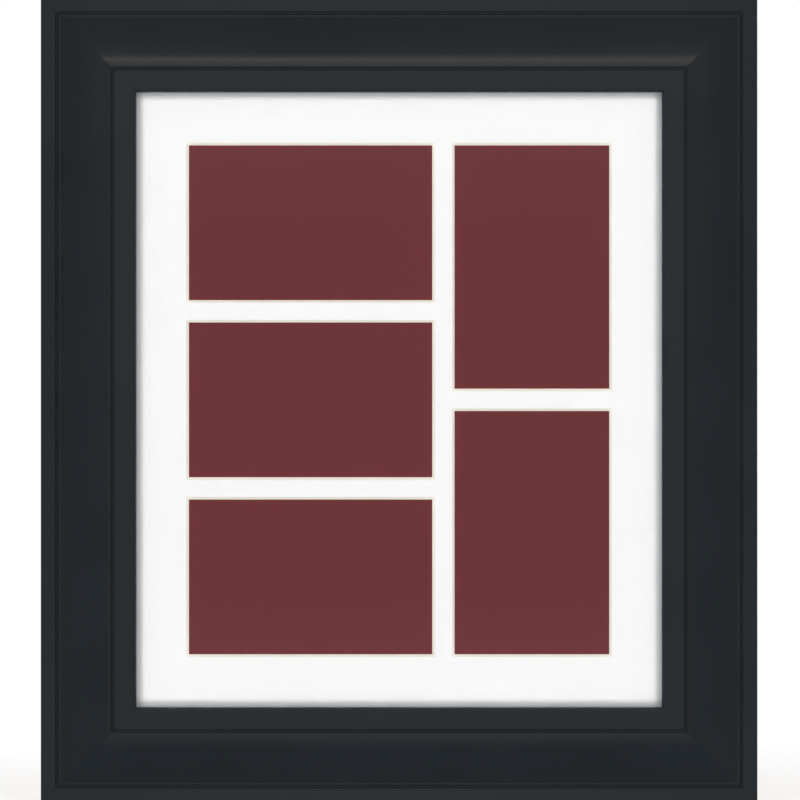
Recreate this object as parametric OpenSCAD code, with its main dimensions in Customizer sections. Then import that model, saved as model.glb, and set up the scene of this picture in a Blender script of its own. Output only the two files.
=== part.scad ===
// Matted picture frame: four mitred rails of reverse-profile moulding round a glazed mat
// with five bevelled windows, closed at the back with turn buttons and hung by a sawtooth.
//
// Seen from the front, X runs to the right and Z runs up. The wall plane is Y = 0 and the
// front faces -Y, so a "depth" below is a distance in front of the wall plane.
// The origin is the middle notch of the top hanger, brought out to the wall plane.

/* [Boards] */
// Width of the glass, the mat and the backing
board_w = 304.8; // [292:0.2:400]
// Height of the glass, the mat and the backing
board_h = 355.6; // [342:0.2:450]
// Play between the boards and the rabbet, on each side
board_play = 1.6; // [0.6:0.1:2.6]
// Thickness of the glass
glass_t = 2; // [1.6:0.1:3]
// Thickness of the backing board
backing_t = 3; // [2:0.1:4]

/* [Mat] */
// Thickness of the white face paper
face_paper_t = 0.2; // [0.1:0.05:0.4]
// Thickness of the cream core
core_t = 1.2; // [0.8:0.1:2]
// Angle of a window's cut edge to the face of the mat
bevel_angle = 45; // [40:1:60]
// Short side of a window, at the back of the mat
window_short = 88; // [80:0.5:92]
// Bar between neighbouring windows, at the back of the mat
window_bar = 12.7; // [8:0.1:16]

/* [Photo cards] */
// Thickness of a card
card_t = 0.3; // [0.2:0.05:0.5]
// Gap between neighbouring cards
card_play = 0.7; // [0.4:0.1:2]
// Thickness of the hinging tape
tape_t = 0.1; // [0.06:0.02:0.16]
// Width of a strip of tape, along the card's edge
tape_w = 18; // [10:1:25]
// Reach of the tape over the card, inward from its edge
tape_reach = 9; // [5:0.5:12]

/* [Moulding] */
// Width of a rail, from the sight edge to the outer edge
rail_w = 54.5; // [50:0.5:64]
// Thickness of the moulding at the sight edge, the highest part
rail_t = 19; // [18:0.5:24]
// Thickness of the moulding at the outer band, the lowest part
outer_t = 10; // [9:0.5:13]
// Width of the flat band along the sight edge
inner_band_w = 13.1; // [10:0.1:16]
// Width of the flat band along the outer edge
outer_band_w = 9.3; // [7:0.1:12]
// Flat ledge between the crowned slope and the outer groove
ledge_w = 1.3; // [0.8:0.1:2.4]
// Width of the round grooves on both sides of the slope
groove_w = 1.6; // [1:0.1:2.2]
// Easing of the two lips of a groove
groove_lip_r = 0.35; // [0.2:0.05:0.6]
// Rounding of the sight edge
sight_r = 1.5; // [0.8:0.1:2.5]
// Rounding of the outer edge
outer_r = 1.2; // [0.8:0.1:2.5]
// Cover of the lip over the boards, on each side
lip_cover = 3.1; // [2.2:0.1:5]
// Thickness of the lip over the glass
lip_t = 7; // [5.5:0.1:7.5]
// Width of the rim that touches the wall
leg_w = 10; // [8:0.5:12]

/* [Corner nails] */
// Length of each leg of a V-nail
v_nail_leg = 6; // [4:0.5:7]
// Thickness of a V-nail's steel strip
v_nail_t = 0.4; // [0.3:0.05:0.6]
// Depth that a V-nail is driven in
v_nail_h = 7; // [5:0.5:8]

/* [Turn buttons] */
// Thickness of a button
button_t = 1.2; // [0.8:0.1:1.5]
// Reach of a button, from its screw to its tip
button_reach = 19; // [16:0.5:22]
// Radius of the button round its screw
button_head_r = 5.6; // [4.5:0.1:6.5]
// Radius of the button's tip
button_tip_r = 3.6; // [2.5:0.1:4.2]
// Distance of the screw from the rabbet
button_inset = 8; // [7:0.5:9]
// Gap between a closed button and the backing board
button_play = 0.2; // [0.1:0.05:0.4]
// Running gap above and below a button
button_run = 0.1; // [0.05:0.05:0.2]

/* [Button screws] */
// Radius of a screw's shank
screw_r = 1.6; // [1.2:0.1:2]
// Radial play of a button on its screw
screw_play = 0.1; // [0.05:0.01:0.2]
// Radius of a screw's head
screw_head_r = 3.3; // [2.8:0.1:3.8]
// Height of a screw's head
screw_head_h = 1.7; // [1.4:0.1:1.9]
// Length of a screw in the wood
screw_grip = 9; // [7:0.5:10]
// Width of the arms of the cross recess
recess_w = 0.8; // [0.5:0.1:1.1]
// Depth of the cross recess
recess_h = 1; // [0.6:0.1:1.2]

/* [Hangers] */
// Length of a sawtooth hanger
hanger_l = 45; // [40:1:55]
// Height of a sawtooth hanger
hanger_w = 10; // [8:0.5:12]
// Thickness of a hanger's steel strip
hanger_t = 0.8; // [0.6:0.1:1]
// Length of the raised middle of a hanger
bridge_l = 26; // [20:1:30]
// Rise of the middle of a hanger off the wood
bridge_rise = 1.6; // [1.2:0.1:1.9]
// Length of the slanted step at each end of the raised middle
bridge_step = 2.4; // [1.6:0.1:3]
// Distance between the notches of the toothed edge
tooth_pitch = 2.4; // [1.8:0.1:3.2]
// Depth of the notches
tooth_h = 1.5; // [1:0.1:2]
// Radius of the hanger's corners
hanger_corner_r = 2; // [1:0.1:3]
// Radius of a hanger nail's shank
nail_r = 0.9; // [0.7:0.05:1.1]
// Radius of a hanger nail's head
nail_head_r = 2.1; // [1.6:0.1:2.5]
// Height of a hanger nail's head
nail_head_h = 0.8; // [0.6:0.1:1]
// Length of a hanger nail in the wood
nail_grip = 8; // [5:0.5:8.5]

/* [Hidden] */

$fn = 96;
over = 1;

// The four sides are one rail turned about Y, by these angles
QUARTER = 90;
HALF = 2 * QUARTER;
TOP = 0;
RIGHT = QUARTER;
BOTTOM = HALF;
LEFT = -QUARTER;
SIDES = [TOP, RIGHT, BOTTOM, LEFT];

// Opening that the rails leave open at the front
sight_w = board_w - 2 * lip_cover;
sight_h = board_h - 2 * lip_cover;
function lies(turn) = turn == TOP || turn == BOTTOM;
function span(turn) = lies(turn) ? sight_w : sight_h;
function reach(turn) = (lies(turn) ? sight_h : sight_w) / 2;

// Depths of the stack, from the glass under the lip back to the turn buttons
glass_front = rail_t - lip_t;
mat_front = glass_front - glass_t;
core_front = mat_front - face_paper_t;
mat_back = core_front - core_t;
card_back = mat_back - card_t;
backing_front = card_back - tape_t;
backing_back = backing_front - backing_t;
relief = backing_back - button_play;

// Stations of the moulding's section, outward from the sight edge
rabbet_w = lip_cover + board_play;
inner_groove = inner_band_w;
slope_in = inner_groove + groove_w / 2;
outer_groove = rail_w - outer_band_w;
slope_out = outer_groove - groove_w / 2 - ledge_w;
leg_in = rail_w - leg_w;
slope_w = slope_out - slope_in;
slope_drop = rail_t - outer_t;
crown_r = (slope_w * slope_w + slope_drop * slope_drop) / (2 * slope_drop);

// Windows as [centre x, centre z, width, height]: three lying on the left, two standing on
// the right. Both columns are equally high, which gives a window's long side, and the whole
// block is in the middle of the board
LYING = 3;
STANDING = 2;
column_h = LYING * window_short + (LYING - 1) * window_bar;
window_long = (column_h - (STANDING - 1) * window_bar) / STANDING;
block_w = window_long + window_bar + window_short;
left_x = (window_long - block_w) / 2;
right_x = (block_w - window_short) / 2;
lying_pitch = window_short + window_bar;
standing_pitch = window_long + window_bar;
WINDOWS = [
    for (row = [0:LYING - 1])
        [left_x, ((LYING - 1) / 2 - row) * lying_pitch, window_long, window_short],
    for (row = [0:STANDING - 1])
        [right_x, ((STANDING - 1) / 2 - row) * standing_pitch, window_short, window_long]
];
card_extra = window_bar - card_play;
tape_place_share = 0.3;
tape_margin_share = 0.33;
tape_out = tape_margin_share * (board_w - block_w - card_extra) / 2;

// Places of the corner nails, as shares of the way from the rabbet to the rim
v_nail_shares = [0.2, 0.62];

// Places of the buttons along a rail, as a share of its sight length
button_place_share = 0.26;
button_pivot = rabbet_w + button_inset;
button_back = relief - button_run - button_t;
screw_head_seat = button_back - button_run;
screw_crown_share = 0.6;
screw_point_share = 0.25;
arc_steps = 20;

// The hanger lies midway between the rabbet and the rim
hanger_mid = (rabbet_w + leg_in) / 2;
hanger_hole = (hanger_l / 2 + bridge_l / 2 + bridge_step) / 2;
tooth_count = floor((bridge_l / 2 - tooth_pitch) / tooth_pitch);
hang_z = reach(TOP) + hanger_mid - hanger_w / 2 + tooth_h;

// Puts the frame's middle where it hangs below the top hanger
module hung() {
    translate([0, 0, -hang_z]) children();
}

// A flat shape, drawn as seen from the front, from one depth and up by a thickness
module layer(depth, thick) {
    translate([0, -depth, 0]) rotate([90, 0, 0]) linear_extrude(thick) children();
}

// A rail's own frame: X along the rail, Z outward from the sight edge
module on_side(turn) {
    rotate([0, turn, 0]) translate([0, 0, reach(turn)]) children();
}

// A shape drawn as (outward, depth), run along X
module along_x(length) {
    rotate([180, -90, 0]) linear_extrude(length, center = true) children();
}

// A shape drawn as (sideways, depth), run along Z
module along_z(length) {
    rotate([180, 0, 0]) linear_extrude(length, center = true) children();
}

// A piece drawn round Z, with Z running forward from the wall plane
module drilled(x, outward) {
    translate([x, 0, outward]) rotate([90, 0, 0]) children();
}

// What a rounding of radius r takes off a corner that points to +X, +Y
module corner_waste(r) {
    difference() {
        translate([-r, -r]) square([r + over, r + over]);
        translate([-r, -r]) circle(r);
        translate([-r - over, -r - over]) square([over, r + 2 * over]);
        translate([-r - over, -r - over]) square([r + 2 * over, over]);
    }
}

// A round-bottomed groove with eased lips
module groove() {
    circle(groove_w / 2);
    for (side = [0, 1]) mirror([side, 0]) translate([-groove_w / 2, 0]) corner_waste(groove_lip_r);
}

// Section of the moulding as (outward from the sight edge, depth)
module moulding_section() {
    core = (relief + outer_t) / 2;
    difference() {
        union() {
            polygon([
                [0, glass_front], [rabbet_w, glass_front], [rabbet_w, relief], [leg_in, relief],
                [leg_in, 0], [rail_w, 0], [rail_w, outer_t], [slope_in, outer_t],
                [slope_in, rail_t], [0, rail_t]
            ]);
            intersection() {
                translate([slope_in, rail_t - crown_r]) circle(crown_r, $fn = 4 * $fn);
                translate([slope_in, core]) square([outer_groove - slope_in, rail_t]);
            }
        }
        translate([inner_groove, rail_t]) groove();
        translate([outer_groove, outer_t]) groove();
        translate([0, rail_t]) mirror([1, 0]) corner_waste(sight_r);
        translate([rail_w, outer_t]) corner_waste(outer_r);
    }
}

// The outline of a rail between its two mitres
module mitred_outline(length) {
    far = rail_w + over;
    polygon([
        [over - length / 2, -over], [length / 2 - over, -over],
        [length / 2 + far, far], [-length / 2 - far, far]
    ]);
}

// V-nails of the corner at a rail's right end: strips bent square, half in each rail
module corner_nails() {
    for (share = v_nail_shares) {
        place = rabbet_w + share * (leg_in - rabbet_w);
        layer(relief, v_nail_h) translate([place, place]) {
            translate([-v_nail_leg, -v_nail_t]) square([v_nail_leg, v_nail_t]);
            translate([-v_nail_t, -v_nail_leg]) square([v_nail_t, v_nail_leg]);
        }
    }
}

// Shank with a point, from a depth forward
module shank(r, depth, length, point_share) {
    point = length * point_share;
    translate([0, 0, depth]) cylinder(r = r, h = length - point);
    translate([0, 0, depth + length - point]) cylinder(r1 = r, r2 = 0, h = point);
}

// Round head with a domed crown, its seat at the given depth and its crown to the wall
module domed_head(r, seat, height, crown_share) {
    crown = height * crown_share;
    dome_r = (r * r + crown * crown) / (2 * crown);
    intersection() {
        translate([0, 0, seat - height]) cylinder(r = r, h = height);
        translate([0, 0, seat - height + dome_r]) sphere(dome_r);
    }
}

module button_screw_shank() {
    length = screw_grip + relief - screw_head_seat;
    shank(screw_r, screw_head_seat, length, screw_point_share);
}

module button_screw() {
    crown = screw_head_seat - screw_head_h;
    arm = 2 * (screw_head_r - recess_h);
    difference() {
        union() {
            domed_head(screw_head_r, screw_head_seat, screw_head_h, screw_crown_share);
            button_screw_shank();
        }
        for (arm_turn = [0, QUARTER]) {
            rotate([0, 0, arm_turn]) translate([-arm / 2, -recess_w / 2, crown - over])
                cube([arm, recess_w, recess_h + over]);
        }
    }
}

module hanger_nail_shank() {
    seat = relief - hanger_t;
    shank(nail_r, seat, nail_grip + hanger_t, screw_point_share);
}

module hanger_nail() {
    domed_head(nail_head_r, relief - hanger_t, nail_head_h, screw_crown_share);
    hanger_nail_shank();
}

// One rail: moulding cut to its mitres, slotted for the nails and drilled for the screws
module rail(turn, with_hanger) {
    color("#25292c") hung() on_side(turn) difference() {
        intersection() {
            along_x(span(turn) + 2 * rail_w) moulding_section();
            layer(-over, rail_t + 2 * over) mitred_outline(span(turn));
        }
        for (end = [0, 1]) mirror([end, 0, 0]) translate([span(turn) / 2, 0, 0]) corner_nails();
        for (hand = [-1, 1]) {
            drilled(hand * button_place_share * span(turn), button_pivot) button_screw_shank();
            if (with_hanger) drilled(hand * hanger_hole, hanger_mid) hanger_nail_shank();
        }
    }
}

module corner_v_nails() {
    color("#b9bcc0") hung()
        for (turn = SIDES) on_side(turn) translate([span(turn) / 2, 0, 0]) corner_nails();
}

module board() {
    square([board_w, board_h], center = true);
}

module glass_pane() {
    color("#dfeaea", 0.35) hung() layer(mat_front, glass_t) board();
}

// A window's cut: its sides lean outward from the back of the mat to the face
module window_side(size) {
    slant = 1 / tan(bevel_angle);
    back = size / 2 - over * slant;
    front = size / 2 + (mat_front - mat_back + over) * slant;
    polygon([
        [-back, mat_back - over], [back, mat_back - over],
        [front, mat_front + over], [-front, mat_front + over]
    ]);
}

module window_cuts() {
    for (window = WINDOWS) translate([window[0], 0, window[1]]) intersection() {
        along_x(2 * window[2]) window_side(window[3]);
        along_z(2 * window[3]) window_side(window[2]);
    }
}

module mat_sheet(depth, thick) {
    hung() difference() {
        layer(depth, thick) board();
        window_cuts();
    }
}

module mat_face_paper() {
    color("#fbfbf9") mat_sheet(core_front, face_paper_t);
}

module mat_core() {
    color("#f1ead6") mat_sheet(mat_back, core_t);
}

module photo_card(index) {
    window = WINDOWS[index];
    color("#6b3739") hung() translate([window[0], 0, window[1]]) layer(card_back, card_t)
        square([window[2] + card_extra, window[3] + card_extra], center = true);
}

// A strip of tape over a card's outer edge, stepping down from the card to the mat
module tape_section() {
    polygon([
        [-tape_reach, card_back], [0, card_back], [0, mat_back], [tape_out, mat_back],
        [tape_out, mat_back - tape_t], [tape_t, mat_back - tape_t],
        [tape_t, card_back - tape_t], [-tape_reach, card_back - tape_t]
    ]);
}

module photo_tapes() {
    color("#e6ddc2") hung() for (window = WINDOWS) {
        outer = window[0] < 0 ? 1 : 0;
        edge = abs(window[0]) + (window[2] + card_extra) / 2;
        card_h = window[3] + card_extra;
        for (hand = [-1, 1]) mirror([outer, 0, 0])
            translate([edge, 0, window[1] + hand * tape_place_share * card_h])
                along_z(tape_w) tape_section();
    }
}

module backing_board() {
    color("#8a6a4a") hung() layer(backing_back, backing_t) board();
}

// Outline of a button with its screw at the middle and its tip towards the boards:
// a large and a small round end joined by the lines that touch both
function arc(centre, r, from, to) = [
    for (step = [0:arc_steps]) let (angle = from + (to - from) * step / arc_steps)
        centre + r * [cos(angle), sin(angle)]
];

module button_outline() {
    tip = button_reach - button_tip_r;
    lean = asin((button_head_r - button_tip_r) / tip);
    polygon(concat(
        arc([0, 0], button_head_r, -lean, HALF + lean),
        arc([0, -tip], button_tip_r, HALF + lean, 2 * HALF - lean)
    ));
}

module turn_button(turn, hand) {
    place = hand * button_place_share * span(turn);
    color("#b4b6b8") hung() on_side(turn) difference() {
        translate([place, 0, button_pivot]) layer(button_back, button_t) button_outline();
        drilled(place, button_pivot) cylinder(r = screw_r + screw_play, h = rail_t);
    }
}

module turn_button_screws() {
    color("#a9abad") hung() for (turn = SIDES, hand = [-1, 1])
        on_side(turn) drilled(hand * button_place_share * span(turn), button_pivot) button_screw();
}

// Strip of a hanger as (along, depth): flat ends on the wood and a raised middle
module hanger_strip() {
    bend = hanger_t * tan(atan2(bridge_rise, bridge_step) / 2);
    inner = bridge_l / 2;
    outer = inner + bridge_step;
    end = hanger_l / 2;
    raised = relief - bridge_rise;
    polygon([
        [-end, relief], [-outer, relief], [-inner, raised], [inner, raised],
        [outer, relief], [end, relief], [end, relief - hanger_t],
        [outer + bend, relief - hanger_t], [inner + bend, raised - hanger_t],
        [-inner - bend, raised - hanger_t], [-outer - bend, relief - hanger_t],
        [-end, relief - hanger_t]
    ]);
}

// The waste at the toothed edge, which faces the middle of the frame
module tooth_notches() {
    for (tooth = [-tooth_count:tooth_count]) translate([tooth * tooth_pitch, -hanger_w / 2])
        polygon([
            [-tooth_pitch / 2, 0], [-tooth_pitch / 2, -over], [tooth_pitch / 2, -over],
            [tooth_pitch / 2, 0], [0, tooth_h]
        ]);
}

module sawtooth_hanger(turn) {
    color("#c8b27a") hung() on_side(turn) translate([0, 0, hanger_mid]) difference() {
        along_z(hanger_w) hanger_strip();
        layer(-over, relief + 2 * over) {
            tooth_notches();
            for (x = [0, 1], z = [0, 1]) mirror([x, 0]) mirror([0, z])
                translate([hanger_l, hanger_w] / 2) corner_waste(hanger_corner_r);
        }
        for (hand = [-1, 1]) drilled(hand * hanger_hole, 0) hanger_nail_shank();
    }
}

module hanger_nails() {
    color("#d2c08c") hung() for (turn = [TOP, LEFT], hand = [-1, 1])
        on_side(turn) drilled(hand * hanger_hole, hanger_mid) hanger_nail();
}

rail(TOP, true);  // top_rail
rail(RIGHT, false);  // right_rail
rail(BOTTOM, false);  // bottom_rail
rail(LEFT, true);  // left_rail
corner_v_nails();
glass_pane();
mat_face_paper();
mat_core();
photo_card(0);  // photo_card_left_top
photo_card(1);  // photo_card_left_middle
photo_card(2);  // photo_card_left_bottom
photo_card(3);  // photo_card_right_top
photo_card(4);  // photo_card_right_bottom
photo_tapes();
backing_board();
turn_button(TOP, -1);  // turn_button_top_left
turn_button(TOP, 1);  // turn_button_top_right
turn_button(RIGHT, -1);  // turn_button_right_upper
turn_button(RIGHT, 1);  // turn_button_right_lower
turn_button(BOTTOM, -1);  // turn_button_bottom_right
turn_button(BOTTOM, 1);  // turn_button_bottom_left
turn_button(LEFT, -1);  // turn_button_left_lower
turn_button(LEFT, 1);  // turn_button_left_upper
turn_button_screws();
sawtooth_hanger(TOP);  // top_hanger
sawtooth_hanger(LEFT);  // side_hanger
hanger_nails();
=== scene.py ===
import math

import bmesh
import bpy
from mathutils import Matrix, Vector


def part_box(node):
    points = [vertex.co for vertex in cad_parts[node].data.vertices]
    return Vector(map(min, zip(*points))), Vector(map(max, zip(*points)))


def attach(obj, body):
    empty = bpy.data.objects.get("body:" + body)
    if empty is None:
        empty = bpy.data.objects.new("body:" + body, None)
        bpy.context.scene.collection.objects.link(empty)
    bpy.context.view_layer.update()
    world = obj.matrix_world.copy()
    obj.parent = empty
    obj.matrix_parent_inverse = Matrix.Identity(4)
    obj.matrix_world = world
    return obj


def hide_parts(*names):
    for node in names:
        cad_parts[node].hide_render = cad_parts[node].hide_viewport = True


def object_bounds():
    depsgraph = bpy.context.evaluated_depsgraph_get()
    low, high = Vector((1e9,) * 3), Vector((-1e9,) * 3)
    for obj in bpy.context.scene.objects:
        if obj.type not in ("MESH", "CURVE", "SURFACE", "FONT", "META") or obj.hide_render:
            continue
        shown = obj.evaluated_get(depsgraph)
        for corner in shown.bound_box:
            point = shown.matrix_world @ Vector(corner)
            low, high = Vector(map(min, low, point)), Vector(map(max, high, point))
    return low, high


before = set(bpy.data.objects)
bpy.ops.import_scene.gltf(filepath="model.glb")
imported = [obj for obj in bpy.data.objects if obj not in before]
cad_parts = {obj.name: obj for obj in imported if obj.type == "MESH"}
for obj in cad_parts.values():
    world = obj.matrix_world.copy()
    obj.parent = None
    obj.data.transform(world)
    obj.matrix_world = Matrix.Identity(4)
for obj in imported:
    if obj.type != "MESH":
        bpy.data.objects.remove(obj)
cad_low, cad_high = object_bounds()

# The moulding rails
# Four lengths of one reverse-profile softwood moulding, mitred, nailed across the corners and
# painted satin black after joining. The back, the rabbet and the relief are left as bare pine.
GRAIN = {"top_rail": "X", "bottom_rail": "X", "left_rail": "Z", "right_rail": "Z"}
middle = (cad_low + cad_high) / 2
half_outer = (cad_high - cad_low) / 2
sight_low = Vector((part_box("left_rail")[1].x, 0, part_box("bottom_rail")[1].z))
sight_high = Vector((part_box("right_rail")[0].x, 0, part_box("top_rail")[0].z))
half_sight = (sight_high - sight_low) / 2
EDGE_PLAY = 0.0015              # how near to an edge a place counts as being at it

PAINT = (0.0074, 0.0117, 0.0155, 1)
PAINT_WORN = (0.0086, 0.0132, 0.0174, 1)
# darker paint of the mitre hairlines and of the painted shade in the grooves
PAINT_JOINT_AND_SHADE = (0.0063, 0.0104, 0.0126, 1)
PAINT_ROUGH = (0.17, 0.21)
PAINT_GLOSS = 0.6
PAINT_SKIN = 0.000012           # depth of its orange peel and bristle marks
BRISTLE_RUN = 0.03              # bristle marks are drawn out along the rail by one over this
OUTER_RUB = 0.03                # hands have rubbed the outer band this much glossier
INNER_DULL = 0.07               # and wiping the glass has left the sight band this much duller
SIDE_ROUGH = 0.5                # the outer sides got one thin coat and stayed dull
GROOVES = (0.0131, 0.0452)      # their middles, from the sight edge
GROOVE_REACH = (0.0005, 0.001)  # painted shade in a groove lies this far to each side, and thins out to there
GROOVE_SHADE = 0.12
MITRE_HAIR = (0.000056, 0.00014)        # the dark hairline along a mitre lies this far to each side, and thins out to there
MITRE_SOIL = 0.5

PINE_PALE = (0.64, 0.45, 0.25, 1)
PINE_DARK = (0.43, 0.26, 0.12, 1)
PINE_ROUGH = (0.62, 0.8)
PINE_GLOSS = 0.3
PINE_FUZZ = 0.00006
GRAIN_RUN = 0.06


class Recipe:
    """The node tree of a finish or of the studio's light, put together one step at a time."""

    def __init__(self, owner):
        owner.use_nodes = True
        self.owner = owner
        self.tree = owner.node_tree
        self.tree.nodes.clear()
        self.place = self.step("TexCoord").outputs

    def step(self, kind, **settings):
        node = self.tree.nodes.new("ShaderNode" + kind)
        for key, value in settings.items():
            setattr(node, key, value)
        return node

    def feed(self, socket, value):
        if isinstance(value, bpy.types.NodeSocket):
            self.tree.links.new(value, socket)
        else:
            socket.default_value = value

    def serve(self, shader, ending="OutputMaterial"):
        """Joins the shader to the tree's end and gives back the material or the world."""
        self.feed(self.step(ending).inputs["Surface"], shader)
        return self.owner

    def maths(self, operation, *values):
        node = self.step("Math", operation=operation)
        for socket, value in zip(node.inputs, values):
            self.feed(socket, value)
        return node.outputs[0]

    def times(self, first, *others):
        for other in others:
            first = self.maths("MULTIPLY", first, other)
        return first

    def apart(self, first, second):
        return self.maths("ABSOLUTE", self.maths("SUBTRACT", first, second))

    def layered(self, base, extra, share):
        """One noise with a share of another one on top."""
        return self.maths("ADD", base, self.times(extra, share))

    def spread(self, value, low, high, to_low=0.0, to_high=1.0):
        """The value's range from low to high, mapped to another range and held there."""
        node = self.step("MapRange", clamp=True)
        for key, given in (("Value", value), ("From Min", low), ("From Max", high),
                           ("To Min", to_low), ("To Max", to_high)):
            self.feed(node.inputs[key], given)
        return node.outputs["Result"]

    def split(self, vector):
        node = self.step("SeparateXYZ")
        self.feed(node.inputs[0], vector)
        return node.outputs

    def off_middle(self):
        """How far a point lies from the frame's middle, sideways and up or down."""
        spot = self.split(self.place["Object"])
        return self.apart(spot["X"], middle.x), self.apart(spot["Z"], middle.z)

    def past(self, across, up, half):
        """How far such a point lies outside a rectangle of this half size; negative inside."""
        return self.maths("MAXIMUM", self.maths("SUBTRACT", across, half.x),
                          self.maths("SUBTRACT", up, half.z))

    def noise(self, size, detail=3, roughness=0.5, along=(1, 1, 1)):
        """Cloudy noise with spots of about this size in metres, drawn out where along is low."""
        stretched = self.step("Mapping")
        self.feed(stretched.inputs["Vector"], self.place["Object"])
        self.feed(stretched.inputs["Scale"], along)
        node = self.step("TexNoise")
        self.feed(node.inputs["Vector"], stretched.outputs["Vector"])
        self.feed(node.inputs["Scale"], 1 / size)
        self.feed(node.inputs["Detail"], detail)
        self.feed(node.inputs["Roughness"], roughness)
        return node.outputs["Fac"]

    def blend(self, share, first, second):
        node = self.step("Mix", data_type="RGBA")
        self.feed(node.inputs["Factor"], share)
        self.feed(node.inputs["A"], first)
        self.feed(node.inputs["B"], second)
        return node.outputs["Result"]

    def relief(self, height, depth):
        node = self.step("Bump")
        self.feed(node.inputs["Height"], height)
        self.feed(node.inputs["Distance"], depth)
        return node.outputs["Normal"]

    def surface(self, **inputs):
        shader = self.step("BsdfPrincipled")
        for key, value in inputs.items():
            self.feed(shader.inputs[key.replace("_", " ")], value)
        return shader.outputs["BSDF"]

    def matt(self, colour):
        shader = self.step("BsdfDiffuse")
        self.feed(shader.inputs["Color"], colour)
        return shader.outputs[0]

    def cover(self, share, under, over):
        """Lays this share of one shader over another."""
        node = self.step("MixShader")
        for socket, value in zip(node.inputs, (share, under, over)):
            self.feed(socket, value)
        return node.outputs[0]


def dress(node, finish):
    """Puts a finish on a piece of the frame."""
    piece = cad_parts[node]
    piece.data.materials.clear()
    piece.data.materials.append(finish)
    for face in piece.data.polygons:
        face.material_index = 0


def moulding_finish(name, grain):
    """Satin black paint where a brush reached, bare pine with its grain along the rail behind."""
    make = Recipe(bpy.data.materials.new(name))
    across, up = make.off_middle()
    outer = make.past(across, up, half_outer)
    inner = make.past(across, up, half_sight)
    facing = make.split(make.place["Normal"])["Y"]      # -1 to the front, 1 to the back

    def drawn_out(share):
        return (share, 1, 1) if grain == "X" else (1, 1, share)

    looks_back = make.spread(facing, 0.15, 0.4)
    looks_aside = make.spread(facing, -0.05, 0.0)
    inside_wall = make.times(make.maths("LESS_THAN", outer, -EDGE_PLAY),
                             make.maths("GREATER_THAN", inner, EDGE_PLAY))
    bare = make.maths("MAXIMUM", looks_back, make.times(looks_aside, inside_wall))
    outer_side = make.times(make.maths("GREATER_THAN", outer, -EDGE_PLAY),
                            make.spread(facing, -0.6, -0.2))
    sight_wall = make.times(make.maths("LESS_THAN", inner, EDGE_PLAY),
                            make.spread(facing, -0.3, -0.1))

    off_mitre = make.apart(make.maths("SUBTRACT", across, up), half_outer.x - half_outer.z)
    joint_and_shade = make.spread(off_mitre, *MITRE_HAIR, MITRE_SOIL, 0.0)
    # Painted shade: the grooves take a darker colour and matt paint where shade would fall in
    # them.
    for groove in GROOVES:
        joint_and_shade = make.maths("MAXIMUM", joint_and_shade, make.spread(
            make.apart(inner, groove), *GROOVE_REACH, GROOVE_SHADE, 0.0))

    cloud = make.noise(size=0.045, detail=4)
    dust = make.noise(size=0.0004, detail=1)
    rough = make.spread(make.layered(cloud, dust, share=0.25), 0.35, 0.9, *PAINT_ROUGH)
    rough = make.maths("SUBTRACT", rough, make.times(
        make.maths("GREATER_THAN", inner, GROOVES[1]), OUTER_RUB))
    rough = make.maths("ADD", rough, make.times(
        make.maths("LESS_THAN", inner, GROOVES[0]), INNER_DULL))
    rough = make.maths("MAXIMUM", rough, make.times(outer_side, SIDE_ROUGH))

    coat = make.blend(make.spread(cloud, 0.3, 0.7), PAINT, PAINT_WORN)
    # The mitre hairlines and the painted shade of the grooves take the darker colour.
    coat = make.blend(joint_and_shade, coat, PAINT_JOINT_AND_SHADE)
    peel = make.noise(size=0.0016, detail=2)
    bristles = make.noise(size=0.0007, detail=3, along=drawn_out(BRISTLE_RUN))
    satin = make.surface(
        Base_Color=coat,
        Roughness=rough,
        Normal=make.relief(make.layered(peel, bristles, share=0.5), PAINT_SKIN),
        Specular_IOR_Level=PAINT_GLOSS)
    # Matt paint on the sight wall, on the mitre hairlines and where the grooves have painted
    # shade.
    painted = make.cover(make.maths("MAXIMUM", sight_wall, joint_and_shade), satin, make.matt(coat))

    rings = make.noise(size=0.0045, detail=5, roughness=0.6, along=drawn_out(GRAIN_RUN))
    fibre = make.noise(size=0.0006, detail=3, along=drawn_out(GRAIN_RUN))
    tone = make.spread(make.layered(rings, fibre, share=0.35), 0.45, 0.95)
    pine = make.surface(
        Base_Color=make.blend(tone, PINE_PALE, PINE_DARK),
        Roughness=make.spread(fibre, 0.3, 0.7, *PINE_ROUGH),
        Normal=make.relief(make.maths("ADD", fibre, rings), PINE_FUZZ),
        Specular_IOR_Level=PINE_GLOSS)
    return make.serve(make.cover(bare, painted, pine))


moulding = {grain: moulding_finish("black_moulding_" + grain.lower(), grain) for grain in "XZ"}
for rail, grain in GRAIN.items():
    dress(rail, moulding[grain])

# The corner nails
# Strips of spring steel, bent square and pressed across each mitre from behind until they lie
# flush. Only their bright top edges show.
STEEL = (0.55, 0.56, 0.58, 1)
STEEL_DULL = (0.36, 0.37, 0.39, 1)
METAL_UNEVEN = 0.14             # the dullest places of a plating are this much rougher
METAL_SCRATCH = 0.00003


def metal_finish(name, bright, dull, rough):
    """Plated steel: cloudy plating, fine handling scratches and a slightly uneven shine."""
    make = Recipe(bpy.data.materials.new(name))
    cloud = make.noise(size=0.004, detail=4)
    scratch = make.noise(size=0.00025, detail=2)
    return make.serve(make.surface(
        Base_Color=make.blend(make.spread(cloud, 0.35, 0.7), bright, dull),
        Metallic=1.0,
        Roughness=make.spread(make.layered(cloud, scratch, share=0.6),
                              0.5, 1.1, rough, rough + METAL_UNEVEN),
        Normal=make.relief(make.maths("ADD", scratch, cloud), METAL_SCRATCH)))


dress("corner_v_nails", metal_finish("spring_steel", STEEL, STEEL_DULL, rough=0.24))

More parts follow.
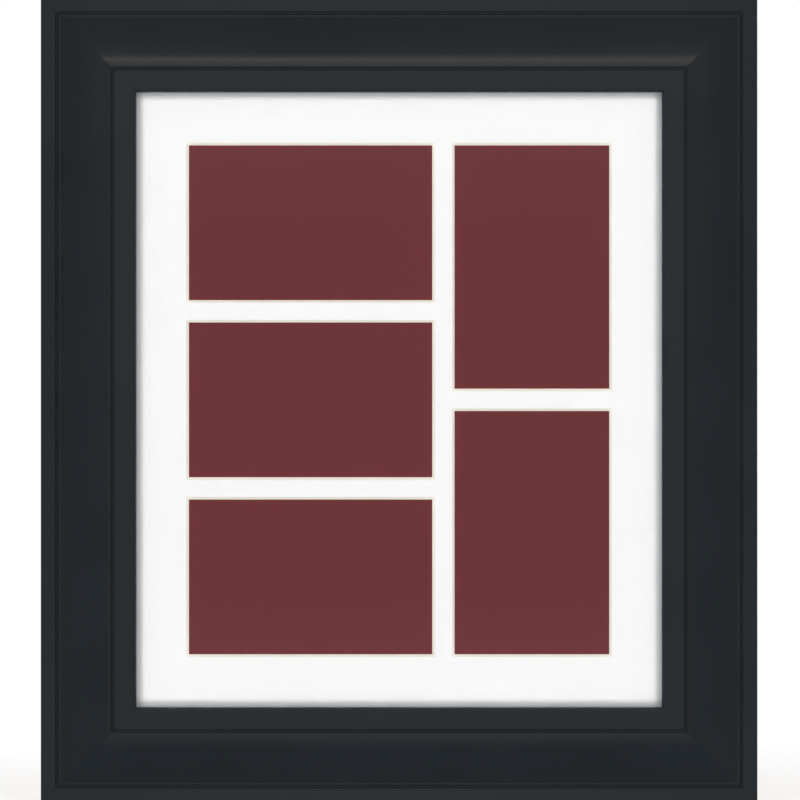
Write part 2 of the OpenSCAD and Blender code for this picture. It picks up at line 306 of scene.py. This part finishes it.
# The glass
# One pane of 2 mm float glass under the lip, clear and almost colourless, its edges seamed with a
# stone. The mat lies against it with a film of air between, and both its faces mirror a little.
GLASS_TINT = (0.989, 0.992, 0.991, 1)
GLASS_IOR = 1.36                # below that of plain glass, so that it veils the cards less
GLASS_SMEAR = (0.0, 0.012)      # roughness of the clean places and of the smears of polish
AIR_FILM = 0.00006
SEAM = 0.0003

pane_low, pane_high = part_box("glass_pane")
pane_high.y -= AIR_FILM
pane_mesh = bmesh.new()
bmesh.ops.create_cube(pane_mesh, size=1)
pane_size = pane_high - pane_low
for vertex in pane_mesh.verts:
    vertex.co = pane_low + Vector(
        (size * (share + 0.5) for size, share in zip(pane_size, vertex.co)))
bmesh.ops.bevel(pane_mesh, geom=pane_mesh.edges[:], offset=SEAM, segments=1, affect="EDGES")
glass_data = bpy.data.meshes.new("glass_sheet")
pane_mesh.to_mesh(glass_data)
pane_mesh.free()
glass_sheet = bpy.data.objects.new("glass_sheet", glass_data)
bpy.context.collection.objects.link(glass_sheet)
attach(glass_sheet, "frame")
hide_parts("glass_pane")


def glass_finish(name):
    """Clear glass that lets lamplight straight through, with a faint smear of polish on it."""
    make = Recipe(bpy.data.materials.new(name))
    clear = make.surface(
        Base_Color=GLASS_TINT,
        Roughness=make.spread(make.noise(size=0.05, detail=3), 0.55, 0.8, *GLASS_SMEAR),
        Transmission_Weight=1.0,
        IOR=GLASS_IOR)
    lamplight = make.step("BsdfTransparent")
    make.feed(lamplight.inputs["Color"], GLASS_TINT)
    ray = make.step("LightPath").outputs
    return make.serve(make.cover(ray["Is Shadow Ray"], clear, lamplight.outputs[0]))


glass_data.materials.append(glass_finish("clear_glass"))

# The mat
# Board of white face paper laminated on a cream pulp core, with five windows cut by one slanted
# pass of the knife each side, so that the cream core shows as a thin bevel round every picture.
PAPER_WHITE = (0.922, 0.916, 0.918, 1)
PAPER_SHADE = (0.892, 0.887, 0.889, 1)
CORE_CREAM = (0.98, 0.95, 0.83, 1)
CORE_SHADE = (0.95, 0.91, 0.78, 1)
LIP_SHADOW_GREY = (0.52, 0.56, 0.61, 1)
LIP_SHADOW_REACH = 0.0040             # how far the painted shadow of the rails' lip reaches onto the mat, and the power by which it thins out
LIP_SHADOW_FADE = 3               # and the power by which it thins out


def paper_finish(name, pale, shade, fibre_size, tooth, rough=(0.80, 0.93), gloss=0.25,
                 painted_lip_shadow=False):
    """Uncoated paper or board: felted fibres that mottle it slightly and give it a tooth."""
    make = Recipe(bpy.data.materials.new(name))
    fibre = make.noise(size=fibre_size, detail=4, roughness=0.6)
    felt = make.layered(fibre, make.noise(size=0.006, detail=5), share=0.4)
    colour = make.blend(make.spread(felt, 0.45, 0.95), pale, shade)
    # A painted shadow along the lip of the rails: bluish grey, fading out over a few millimetres.
    if painted_lip_shadow:
        inner = make.past(*make.off_middle(), half_sight)
        shadow_share = make.maths("POWER", make.spread(inner, -LIP_SHADOW_REACH, 0), LIP_SHADOW_FADE)
        colour = make.blend(shadow_share, colour, LIP_SHADOW_GREY)
    return make.serve(make.surface(
        Base_Color=colour,
        Roughness=make.spread(fibre, 0.3, 0.7, *rough),
        Normal=make.relief(fibre, tooth),
        Specular_IOR_Level=gloss))


# The mat's white face, with a painted shadow along the lip of the rails.
dress("mat_face_paper", paper_finish(
    "white_paper", PAPER_WHITE, PAPER_SHADE, fibre_size=0.0003, tooth=0.000015, painted_lip_shadow=True))
dress("mat_core", paper_finish(
    "cream_core", CORE_CREAM, CORE_SHADE, fibre_size=0.00022, tooth=0.00002))

# The photo cards
# Plain maroon card in every window, where a photo goes, smooth on the face and hinged to the
# back of the mat with gummed linen tape.
MAROON = (0.138, 0.0204, 0.0252, 1)
MAROON_SHADE = (0.129, 0.0188, 0.0234, 1)
LINEN = (0.80, 0.74, 0.58, 1)
LINEN_SHADE = (0.70, 0.63, 0.47, 1)

maroon_card = paper_finish("maroon_card", MAROON, MAROON_SHADE, fibre_size=0.0002,
                           tooth=0.000008, rough=(0.65, 0.78), gloss=0.2)
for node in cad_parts:
    if node.startswith("photo_card_"):
        dress(node, maroon_card)
dress("photo_tapes", paper_finish(
    "linen_tape", LINEN, LINEN_SHADE, fibre_size=0.0005, tooth=0.00005))

# The backing board
# Three millimetres of hardboard, pressed wood fibre with its smooth face outward: brown, with
# darker and paler fibre bundles and a faint polish.
BOARD_DARK = (0.165, 0.085, 0.042, 1)
BOARD_PALE = (0.27, 0.155, 0.08, 1)
BOARD_CLOUD = (0.30, 0.18, 0.10, 1)
BOARD_FLECK = (0.09, 0.045, 0.022, 1)
BOARD_ROUGH = (0.42, 0.58)
BOARD_GLOSS = 0.4
BOARD_PRESS = 0.00003           # depth of the fibre bundles in its face


def hardboard_finish(name):
    make = Recipe(bpy.data.materials.new(name))
    bundle = make.noise(size=0.0011, detail=5, roughness=0.65)
    cloud = make.spread(make.noise(size=0.03, detail=3), 0.35, 0.7, 0, 0.35)
    fleck = make.spread(make.noise(size=0.0024, detail=2), 0.6, 0.7)
    brown = make.blend(make.spread(bundle, 0.35, 0.65), BOARD_DARK, BOARD_PALE)
    brown = make.blend(cloud, brown, BOARD_CLOUD)
    brown = make.blend(make.times(fleck, 0.5), brown, BOARD_FLECK)
    return make.serve(make.surface(
        Base_Color=brown,
        Roughness=make.spread(bundle, 0.3, 0.7, *BOARD_ROUGH),
        Normal=make.relief(make.maths("ADD", bundle, fleck), BOARD_PRESS),
        Specular_IOR_Level=BOARD_GLOSS))


dress("backing_board", hardboard_finish("hardboard"))

# The turn buttons and their screws
# Stamped from zinc-plated steel strip, two on each rail, turned over the board's edge to hold it.
# Each turns on a pan-head screw in the pine.
ZINC = (0.52, 0.53, 0.55, 1)
ZINC_DULL = (0.40, 0.41, 0.44, 1)

zinc_steel = metal_finish("zinc_steel", ZINC, ZINC_DULL, rough=0.30)
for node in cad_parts:
    if node.startswith("turn_button_"):
        dress(node, zinc_steel)

# The hangers
# Thin steel strip, brass-plated, pressed to a raised bridge with a notched lower edge that the
# wall nail catches in, and nailed to the relief of the top and the left rail.
BRASS = (0.72, 0.52, 0.24, 1)
BRASS_DULL = (0.55, 0.37, 0.15, 1)

brass_plate = metal_finish("brass_plate", BRASS, BRASS_DULL, rough=0.25)
for node in ("top_hanger", "side_hanger", "hanger_nails"):
    dress(node, brass_plate)

# The studio
# The frame stands on a pale floor in a white room. Four soft lamps at the diagonals light it as
# for copying a print, a warm strip lamp above gives the top rail its sheen, and two light the
# back. A reflector, a table edge, white panels and a ceiling show only in what is glossy.
PHOTO_SIZE = 800
SCALE = 1.7588e3                # photo pixels in a metre at the mat's face
PHOTO_CENTRE = (399.1, 399.85)
LENS = 250
SENSOR = 36

mat_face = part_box("mat_face_paper")[0].y
distance = PHOTO_SIZE * LENS / SENSOR / SCALE
camera_data = bpy.data.cameras.new("photo_camera")
camera_data.lens = LENS
camera_data.sensor_width = SENSOR
camera_data.clip_end = 100
camera = bpy.data.objects.new("photo_camera", camera_data)
bpy.context.collection.objects.link(camera)
camera.location = (middle.x + (PHOTO_SIZE / 2 - PHOTO_CENTRE[0]) / SCALE,
                   mat_face - distance,
                   middle.z + (PHOTO_CENTRE[1] - PHOTO_SIZE / 2) / SCALE)
camera.rotation_euler = (math.pi / 2, 0, 0)
bpy.context.scene.camera = camera

# Each lamp has its place from the frame's middle and its power in watts.
COPY_ASIDE, COPY_AHEAD = 1.25, -2.5
COPY_WATTS = {1: 12.5, -1: 24.3}        # of the upper two and of the lower two
STRIP_PLACE, STRIP_WATTS = (0, -3.0, 1.0), 1.85
STRIP_WARMTH = (1.0, 0.80, 0.62)
BACK_LEFT_PLACE, BACK_LEFT_WATTS = (-0.9, 1.3, 0.9), 10
BACK_RIGHT_PLACE, BACK_RIGHT_WATTS = (1.1, 1.2, 0.3), 7


def soft_lamp(name, offset, watts, width=0.8, height=0.8, colour=(1, 1, 1)):
    """A flat lamp that looks at the middle of the frame and isn't seen by the camera."""
    lamp = bpy.data.lights.new(name, "AREA")
    lamp.shape = "RECTANGLE"
    lamp.size = width
    lamp.size_y = height
    lamp.energy = watts
    lamp.color = colour
    stand = bpy.data.objects.new(name, lamp)
    stand.location = middle + Vector(offset)
    stand.rotation_mode = "QUATERNION"
    stand.rotation_quaternion = (-Vector(offset)).to_track_quat("-Z", "Y")
    stand.visible_camera = False
    bpy.context.collection.objects.link(stand)
    return stand


# The lower copy lamps and the left back lamp give light but aren't mirrored, because they would
# show as hard patches in the glass, on the bottom rail and on the top rail's side.
for side in (-1, 1):
    for level in (-1, 1):
        place = (side * COPY_ASIDE, COPY_AHEAD, level * COPY_ASIDE)
        lamp = soft_lamp("copy_lamp", place, COPY_WATTS[level])
        lamp.visible_glossy = lamp.visible_transmission = level > 0
soft_lamp("top_strip", STRIP_PLACE, STRIP_WATTS, width=2.2, height=0.17, colour=STRIP_WARMTH)
soft_lamp("back_left", BACK_LEFT_PLACE, BACK_LEFT_WATTS).visible_glossy = False
soft_lamp("back_right", BACK_RIGHT_PLACE, BACK_RIGHT_WATTS)

AMBIENT = 0.32                  # what the white room gives as light
MIRRORED_FRONT = 0.175          # what gloss sees of it on the camera's side,
MIRRORED_AXIS = 0.235           # straight ahead, round the camera,
MIRRORED_BACK = (0.4275, 0.95)  # and behind the frame, from the ground up
REFLECTOR = 0.47                # what gloss sees of the reflector under the strip lamp,
TABLE = 0.38                    # of the table edge below the camera,
PANELS = 0.6                    # of the white panels round the copy lamps,
CEILING = 0.045                 # and of the ceiling
# Where each of them begins and where it is full, in the parts X, Y or Z of a direction.
REFLECTOR_FOOT, REFLECTOR_HEAD = (0.028, 0.12), (0.36, 0.30)
TABLE_HEAD, TABLE_FOOT = (-0.032, -0.075), (-0.4, -0.15)
NARROW, FORWARD = (0.07, 0.045), (-0.7, -0.8)
PANEL_SIDE, PANEL_HEIGHT = (0.2, 0.6), (0.12, 0.4)
CEILING_RIM = (0.33, 0.43)
BACKWARD, GROUND_UP = (-0.1, 0.4), (-0.3, 0.7)
AXIS_POWER = 45                 # gathers the glow round the camera

room = Recipe(bpy.data.worlds.new("studio"))
bpy.context.scene.world = room.owner
ray = room.step("LightPath").outputs
aim = room.split(room.place["Generated"])
aside, height = room.apart(aim["X"], 0), aim["Z"]
reflector = room.times(
    REFLECTOR, room.spread(height, *REFLECTOR_FOOT), room.spread(height, *REFLECTOR_HEAD))
table = room.times(
    TABLE, room.spread(height, *TABLE_HEAD), room.spread(height, *TABLE_FOOT))
props = room.times(room.maths("ADD", reflector, table),
                   room.spread(aside, *NARROW), room.spread(aim["Y"], *FORWARD))
panels = room.times(PANELS, room.spread(aside, *PANEL_SIDE),
                    room.spread(room.apart(height, 0), *PANEL_HEIGHT))
ceiling = room.times(CEILING, room.spread(height, *CEILING_RIM))
ahead = room.maths("MAXIMUM", room.times(aim["Y"], -1), 0)
front = room.spread(room.maths("POWER", ahead, AXIS_POWER), 0, 1, MIRRORED_FRONT, MIRRORED_AXIS)
for prop in (panels, ceiling, props):
    front = room.maths("ADD", front, prop)
back = room.spread(height, *GROUND_UP, *MIRRORED_BACK)
mirrored = room.spread(room.spread(aim["Y"], *BACKWARD), 0, 1, front, back)
lit = room.spread(ray["Is Glossy Ray"], 0, 1, AMBIENT, mirrored)

# The camera sees plain white, also straight through the glass.
bounces = room.maths("ADD", ray["Diffuse Depth"], ray["Glossy Depth"])
through_glass = room.times(ray["Is Transmission Ray"], room.maths("LESS_THAN", bounces, 0.5))
seen = room.maths("MAXIMUM", ray["Is Camera Ray"], through_glass)
surround = room.step("Background")
room.feed(surround.inputs["Color"], (1, 1, 1, 1))
room.feed(surround.inputs["Strength"], room.spread(seen, 0, 1, lit, 1))
room.serve(surround.outputs[0], "OutputWorld")

FLOOR_RADIUS = 0.9
FLOOR_PALE = (0.85, 0.85, 0.85, 1)
FLOOR_GLOW = 0.4                # lifts it toward white for the camera,
FLOOR_FADE = (0.495, 0.873)     # and it turns quite white between these distances

bpy.ops.mesh.primitive_circle_add(vertices=128, radius=FLOOR_RADIUS, fill_type="NGON",
                                  location=(middle.x, middle.y, cad_low.z))
floor = bpy.context.object
floor.name = "studio_floor"
floor.visible_shadow = False
floor.visible_glossy = False
floor.visible_transmission = False
paper = Recipe(bpy.data.materials.new("pale_floor"))
to_camera = paper.step("LightPath").outputs["Is Camera Ray"]
glow = paper.step("Emission")
paper.feed(glow.inputs["Strength"], paper.times(to_camera, FLOOR_GLOW))
lifted = paper.step("AddShader")
paper.feed(lifted.inputs[0], paper.matt(FLOOR_PALE))
paper.feed(lifted.inputs[1], glow.outputs[0])
from_middle = paper.step("VectorMath", operation="LENGTH")
paper.feed(from_middle.inputs[0], paper.place["Object"])
fade = paper.times(to_camera, paper.spread(from_middle.outputs["Value"], *FLOOR_FADE))
horizon = paper.step("Emission").outputs[0]
floor.data.materials.append(paper.serve(paper.cover(fade, lifted.outputs[0], horizon)))

bpy.context.scene.view_settings.view_transform = "Standard"
